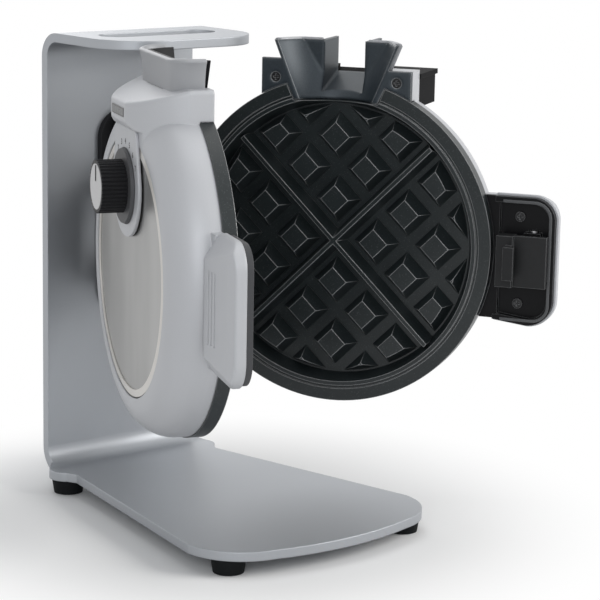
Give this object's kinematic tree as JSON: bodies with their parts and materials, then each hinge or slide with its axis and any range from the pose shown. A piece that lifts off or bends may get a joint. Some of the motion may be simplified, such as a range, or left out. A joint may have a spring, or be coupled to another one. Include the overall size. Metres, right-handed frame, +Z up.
{
  "type": "waffle maker",
  "caption": "Upright waffle maker: bent aluminium stand, hinged halves with patterned plates and pour spouts, dial knob, side grips and a latch.",
  "frame": {"origin": "on the floor, midway between the four rubber feet", "axes": "+Z up; +Y towards the stand's back panel, so the front faces -Y; +X to the right seen from the front"},
  "size_m": [0.2639, 0.2718, 0.288],
  "materials": {
    "stand_aluminium": "satin bead-blasted",
    "foot_rubber": "matte",
    "steel": "plated",
    "black_plastic": "fine grain",
    "hinge_steel": "black paint",
    "silver_shell": "metallic silver paint",
    "nonstick_plate": "black non-stick coating",
    "brushed_disc": "vertical brushed",
    "pale_bezel": "pale champagne",
    "grey_liner": "dark grey",
    "knob_silver": "satin",
    "element_steel": "oxidised sheath",
    "shield_aluminium": "mill finish",
    "inner_plastic": "moulded",
    "lens_clear": "smoked clear",
    "lamp": "tinted"
  },
  "bodies": {
    "stand": {"stand_frame": "stand_aluminium", "rubber_feet": "foot_rubber", "foot_screws": "steel", "hinge_bracket": "black_plastic", "bracket_screws": "steel", "hinge_pin": "steel"},
    "left_half": {"left_housing": "silver_shell", "left_cooking_plate": "nonstick_plate", "left_waffle_grid": "nonstick_plate", "left_heating_element": "element_steel", "left_element_cover": "shield_aluminium", "left_cover_disc": "brushed_disc", "left_bezel_ring": "pale_bezel", "left_hinge_arm": "hinge_steel", "left_spout_liner": "nonstick_plate", "left_spout_cup": "silver_shell", "left_spout_screws": "hinge_steel", "left_handle_shell": "silver_shell", "left_handle_liner": "grey_liner", "left_handle_screws": "hinge_steel", "latch_keeper": "steel", "dial_panel": "silver_shell", "indicator_lens": "lens_clear", "indicator_lamps": "lamp", "thermostat": "inner_plastic", "thermal_fuse": "inner_plastic"},
    "right_half": {"right_housing": "silver_shell", "right_cooking_plate": "nonstick_plate", "right_waffle_grid": "nonstick_plate", "right_heating_element": "element_steel", "right_element_cover": "shield_aluminium", "right_cover_disc": "brushed_disc", "right_bezel_ring": "pale_bezel", "right_hinge_arm": "hinge_steel", "right_spout_liner": "nonstick_plate", "right_spout_cup": "silver_shell", "right_spout_screws": "hinge_steel", "right_handle_shell": "silver_shell", "right_handle_liner": "black_plastic", "right_handle_screws": "hinge_steel", "neck_cap": "black_plastic", "cord_gland": "black_plastic", "terminal_block": "inner_plastic", "latch_pin": "steel"},
    "knob": {"control_knob": "black_plastic", "knob_cap": "knob_silver", "knob_pointer": "black_plastic", "knob_skirt": "grey_liner", "knob_spindle": "steel"},
    "latch": {"latch_lever": "black_plastic"}
  },
  "joints": [
    {"name": "left_half_swing", "type": "hinge", "parent": "stand", "child": "left_half", "pos_m": [0, 0.095, 0.17], "axis": [0, 0, -1], "range_deg": [-20.9, 24.1]},
    {"name": "right_half_swing", "type": "hinge", "parent": "stand", "child": "right_half", "pos_m": [0, 0.095, 0.17], "axis": [0, 0, 1], "range_deg": [-31.2, 13.8]},
    {"name": "knob_turn", "type": "hinge", "parent": "left_half", "child": "knob", "pos_m": [-0.08948, -0.0132, 0.212], "axis": [-0.9342, 0.3567, 0], "range_deg": [-120, 120]},
    {"name": "latch_pivot", "type": "hinge", "parent": "right_half", "child": "latch", "pos_m": [0.14169, -0.11965, 0.162], "axis": [0, 0, -1], "range_deg": [0, 10], "stiffness_Nm_per_rad": 0.6}
  ]
}
